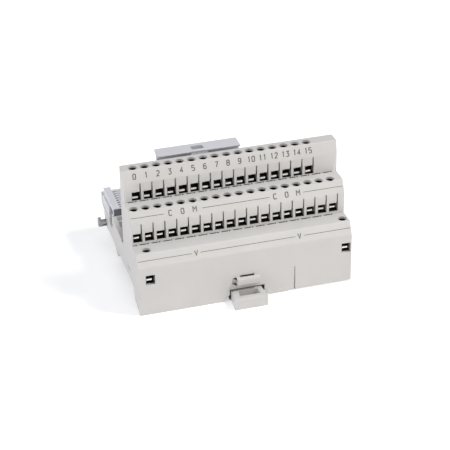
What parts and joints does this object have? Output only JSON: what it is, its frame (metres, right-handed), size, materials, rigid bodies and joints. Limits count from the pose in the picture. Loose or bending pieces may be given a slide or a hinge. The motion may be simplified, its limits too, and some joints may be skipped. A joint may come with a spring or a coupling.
{
  "type": "terminal base unit",
  "caption": "DIN-rail terminal base for a plug-in I/O module: three stepped rows of screw terminals, module tray, sliding bus connector, sprung latch and rail lock.",
  "frame": {"origin": "centre of the face that rests on the top of the 35 mm rail, on the middle pad of the bottom cover", "axes": "+X right along the terminal rows, -Y towards the user who faces the wire entries, +Z away from the rail"},
  "size_m": [0.0992, 0.0913, 0.0576],
  "materials": {
    "housing": "fine matt moulded plastic, warm light grey",
    "cover": "fine matt moulded plastic, light grey",
    "fitting": "fine matt moulded plastic, cool light grey",
    "latch": "fine matt moulded plastic, light grey",
    "hook": "matt moulded plastic, neutral grey",
    "dial": "matt moulded plastic, mid grey",
    "dark_connector": "matt black glass-filled plastic",
    "board": "green solder mask",
    "contact": "tin-plated copper alloy",
    "steel": "bright spring steel",
    "screw": "zinc-plated steel"
  },
  "bodies": {
    "base": {"housing": "housing", "bottom_cover": "cover", "circuit_board": "board", "module_connector": "dark_connector", "key_housing": "fitting", "bus_header": "dark_connector", "bus_header_pins": "contact", "side_hook": "hook", "latch_pin": "steel", "latch_spring": "steel", "rail_lock_spring": "steel", "signal_contact_strip": "contact", "common_bus_bar": "contact", "supply_bus_bar": "contact"},
    "rail_lock": {"rail_lock": "latch"},
    "bus_slider": {"bus_slider": "fitting", "bus_slider_contacts": "contact"},
    "key_dial": {"key_dial": "dial"},
    "module_latch": {"latch": "latch"},
    "cap_plug": {"cap_plug": "fitting"},
    "terminal_screw_a00": {"terminal_screw_a00": "screw"},
    "terminal_screw_a01": {"terminal_screw_a01": "screw"},
    "terminal_screw_a02": {"terminal_screw_a02": "screw"},
    "terminal_screw_a03": {"terminal_screw_a03": "screw"},
    "terminal_screw_a04": {"terminal_screw_a04": "screw"},
    "terminal_screw_a05": {"terminal_screw_a05": "screw"},
    "terminal_screw_a06": {"terminal_screw_a06": "screw"},
    "terminal_screw_a07": {"terminal_screw_a07": "screw"},
    "terminal_screw_a08": {"terminal_screw_a08": "screw"},
    "terminal_screw_a09": {"terminal_screw_a09": "screw"},
    "terminal_screw_a10": {"terminal_screw_a10": "screw"},
    "terminal_screw_a11": {"terminal_screw_a11": "screw"},
    "terminal_screw_a12": {"terminal_screw_a12": "screw"},
    "terminal_screw_a13": {"terminal_screw_a13": "screw"},
    "terminal_screw_a14": {"terminal_screw_a14": "screw"},
    "terminal_screw_a15": {"terminal_screw_a15": "screw"},
    "terminal_screw_b00": {"terminal_screw_b00": "screw"},
    "terminal_screw_b01": {"terminal_screw_b01": "screw"},
    "terminal_screw_b02": {"terminal_screw_b02": "screw"},
    "terminal_screw_b03": {"terminal_screw_b03": "screw"},
    "terminal_screw_b04": {"terminal_screw_b04": "screw"},
    "terminal_screw_b05": {"terminal_screw_b05": "screw"},
    "terminal_screw_b06": {"terminal_screw_b06": "screw"},
    "terminal_screw_b07": {"terminal_screw_b07": "screw"},
    "terminal_screw_b08": {"terminal_screw_b08": "screw"},
    "terminal_screw_b09": {"terminal_screw_b09": "screw"},
    "terminal_screw_b10": {"terminal_screw_b10": "screw"},
    "terminal_screw_b11": {"terminal_screw_b11": "screw"},
    "terminal_screw_b12": {"terminal_screw_b12": "screw"},
    "terminal_screw_b13": {"terminal_screw_b13": "screw"},
    "terminal_screw_b14": {"terminal_screw_b14": "screw"},
    "terminal_screw_b15": {"terminal_screw_b15": "screw"},
    "terminal_screw_b16": {"terminal_screw_b16": "screw"},
    "terminal_screw_b17": {"terminal_screw_b17": "screw"},
    "terminal_screw_c00": {"terminal_screw_c00": "screw"},
    "terminal_screw_c17": {"terminal_screw_c17": "screw"}
  },
  "joints": [
    {"name": "bus_slider_slide", "type": "slide", "parent": "base", "child": "bus_slider", "axis": [-1, 0, 0], "range_m": [0, 0.008]},
    {"name": "cap_plug_pull", "type": "slide", "parent": "base", "child": "cap_plug", "axis": [1, 0, 0], "range_m": [0, 0.012]},
    {"name": "key_dial_turn", "type": "hinge", "parent": "base", "child": "key_dial", "pos_m": [-0.022, 0.012, 0.012], "axis": [0, 0, 1], "range_deg": [0, 315]},
    {"name": "module_latch_swing", "type": "hinge", "parent": "base", "child": "module_latch", "pos_m": [0, 0.0515, 0.008], "axis": [-1, 0, 0], "range_deg": [0, 12], "stiffness_Nm_per_rad": 0.25, "springref_deg": -6.88},
    {"name": "rail_lock_slide", "type": "slide", "parent": "base", "child": "rail_lock", "axis": [0, -1, 0], "range_m": [0, 0.004], "stiffness_N_per_m": 500, "springref_m": -0.004, "deforming": ["rail_lock_spring"]},
    {"name": "screw_turn_a00", "type": "hinge", "parent": "base", "child": "terminal_screw_a00", "pos_m": [-0.0421, -0.0033, 0.04774], "axis": [0, 0, 1], "continuous": true},
    {"name": "screw_turn_a01", "type": "hinge", "parent": "base", "child": "terminal_screw_a01", "pos_m": [-0.03702, -0.0033, 0.04774], "axis": [0, 0, 1], "continuous": true},
    {"name": "screw_turn_a02", "type": "hinge", "parent": "base", "child": "terminal_screw_a02", "pos_m": [-0.03194, -0.0033, 0.04774], "axis": [0, 0, 1], "continuous": true},
    {"name": "screw_turn_a03", "type": "hinge", "parent": "base", "child": "terminal_screw_a03", "pos_m": [-0.02686, -0.0033, 0.04774], "axis": [0, 0, 1], "continuous": true},
    {"name": "screw_turn_a04", "type": "hinge", "parent": "base", "child": "terminal_screw_a04", "pos_m": [-0.02178, -0.0033, 0.04774], "axis": [0, 0, 1], "continuous": true},
    {"name": "screw_turn_a05", "type": "hinge", "parent": "base", "child": "terminal_screw_a05", "pos_m": [-0.0167, -0.0033, 0.04774], "axis": [0, 0, 1], "continuous": true},
    {"name": "screw_turn_a06", "type": "hinge", "parent": "base", "child": "terminal_screw_a06", "pos_m": [-0.01162, -0.0033, 0.04774], "axis": [0, 0, 1], "continuous": true},
    {"name": "screw_turn_a07", "type": "hinge", "parent": "base", "child": "terminal_screw_a07", "pos_m": [-0.00654, -0.0033, 0.04774], "axis": [0, 0, 1], "continuous": true},
    {"name": "screw_turn_a08", "type": "hinge", "parent": "base", "child": "terminal_screw_a08", "pos_m": [-0.00146, -0.0033, 0.04774], "axis": [0, 0, 1], "continuous": true},
    {"name": "screw_turn_a09", "type": "hinge", "parent": "base", "child": "terminal_screw_a09", "pos_m": [0.00362, -0.0033, 0.04774], "axis": [0, 0, 1], "continuous": true},
    {"name": "screw_turn_a10", "type": "hinge", "parent": "base", "child": "terminal_screw_a10", "pos_m": [0.0087, -0.0033, 0.04774], "axis": [0, 0, 1], "continuous": true},
    {"name": "screw_turn_a11", "type": "hinge", "parent": "base", "child": "terminal_screw_a11", "pos_m": [0.01378, -0.0033, 0.04774], "axis": [0, 0, 1], "continuous": true},
    {"name": "screw_turn_a12", "type": "hinge", "parent": "base", "child": "terminal_screw_a12", "pos_m": [0.01886, -0.0033, 0.04774], "axis": [0, 0, 1], "continuous": true},
    {"name": "screw_turn_a13", "type": "hinge", "parent": "base", "child": "terminal_screw_a13", "pos_m": [0.02394, -0.0033, 0.04774], "axis": [0, 0, 1], "continuous": true},
    {"name": "screw_turn_a14", "type": "hinge", "parent": "base", "child": "terminal_screw_a14", "pos_m": [0.02902, -0.0033, 0.04774], "axis": [0, 0, 1], "continuous": true},
    {"name": "screw_turn_a15", "type": "hinge", "parent": "base", "child": "terminal_screw_a15", "pos_m": [0.0341, -0.0033, 0.04774], "axis": [0, 0, 1], "continuous": true},
    {"name": "screw_turn_b00", "type": "hinge", "parent": "base", "child": "terminal_screw_b00", "pos_m": [-0.0445, -0.01275, 0.0335], "axis": [0, 0, 1], "continuous": true},
    {"name": "screw_turn_b01", "type": "hinge", "parent": "base", "child": "terminal_screw_b01", "pos_m": [-0.03942, -0.01275, 0.0335], "axis": [0, 0, 1], "continuous": true},
    {"name": "screw_turn_b02", "type": "hinge", "parent": "base", "child": "terminal_screw_b02", "pos_m": [-0.03434, -0.01275, 0.0335], "axis": [0, 0, 1], "continuous": true},
    {"name": "screw_turn_b03", "type": "hinge", "parent": "base", "child": "terminal_screw_b03", "pos_m": [-0.02926, -0.01275, 0.0335], "axis": [0, 0, 1], "continuous": true},
    {"name": "screw_turn_b04", "type": "hinge", "parent": "base", "child": "terminal_screw_b04", "pos_m": [-0.02418, -0.01275, 0.0335], "axis": [0, 0, 1], "continuous": true},
    {"name": "screw_turn_b05", "type": "hinge", "parent": "base", "child": "terminal_screw_b05", "pos_m": [-0.0191, -0.01275, 0.0335], "axis": [0, 0, 1], "continuous": true},
    {"name": "screw_turn_b06", "type": "hinge", "parent": "base", "child": "terminal_screw_b06", "pos_m": [-0.01402, -0.01275, 0.0335], "axis": [0, 0, 1], "continuous": true},
    {"name": "screw_turn_b07", "type": "hinge", "parent": "base", "child": "terminal_screw_b07", "pos_m": [-0.00894, -0.01275, 0.0335], "axis": [0, 0, 1], "continuous": true},
    {"name": "screw_turn_b08", "type": "hinge", "parent": "base", "child": "terminal_screw_b08", "pos_m": [-0.00386, -0.01275, 0.0335], "axis": [0, 0, 1], "continuous": true},
    {"name": "screw_turn_b09", "type": "hinge", "parent": "base", "child": "terminal_screw_b09", "pos_m": [0.00122, -0.01275, 0.0335], "axis": [0, 0, 1], "continuous": true},
    {"name": "screw_turn_b10", "type": "hinge", "parent": "base", "child": "terminal_screw_b10", "pos_m": [0.0063, -0.01275, 0.0335], "axis": [0, 0, 1], "continuous": true},
    {"name": "screw_turn_b11", "type": "hinge", "parent": "base", "child": "terminal_screw_b11", "pos_m": [0.01138, -0.01275, 0.0335], "axis": [0, 0, 1], "continuous": true},
    {"name": "screw_turn_b12", "type": "hinge", "parent": "base", "child": "terminal_screw_b12", "pos_m": [0.01646, -0.01275, 0.0335], "axis": [0, 0, 1], "continuous": true},
    {"name": "screw_turn_b13", "type": "hinge", "parent": "base", "child": "terminal_screw_b13", "pos_m": [0.02154, -0.01275, 0.0335], "axis": [0, 0, 1], "continuous": true},
    {"name": "screw_turn_b14", "type": "hinge", "parent": "base", "child": "terminal_screw_b14", "pos_m": [0.02662, -0.01275, 0.0335], "axis": [0, 0, 1], "continuous": true},
    {"name": "screw_turn_b15", "type": "hinge", "parent": "base", "child": "terminal_screw_b15", "pos_m": [0.0317, -0.01275, 0.0335], "axis": [0, 0, 1], "continuous": true},
    {"name": "screw_turn_b16", "type": "hinge", "parent": "base", "child": "terminal_screw_b16", "pos_m": [0.03678, -0.01275, 0.0335], "axis": [0, 0, 1], "continuous": true},
    {"name": "screw_turn_b17", "type": "hinge", "parent": "base", "child": "terminal_screw_b17", "pos_m": [0.04186, -0.01275, 0.0335], "axis": [0, 0, 1], "continuous": true},
    {"name": "screw_turn_c00", "type": "hinge", "parent": "base", "child": "terminal_screw_c00", "pos_m": [-0.04191, -0.0222, 0.01856], "axis": [0, 0, 1], "continuous": true},
    {"name": "screw_turn_c17", "type": "hinge", "parent": "base", "child": "terminal_screw_c17", "pos_m": [0.04445, -0.0222, 0.01856], "axis": [0, 0, 1], "continuous": true}
  ]
}
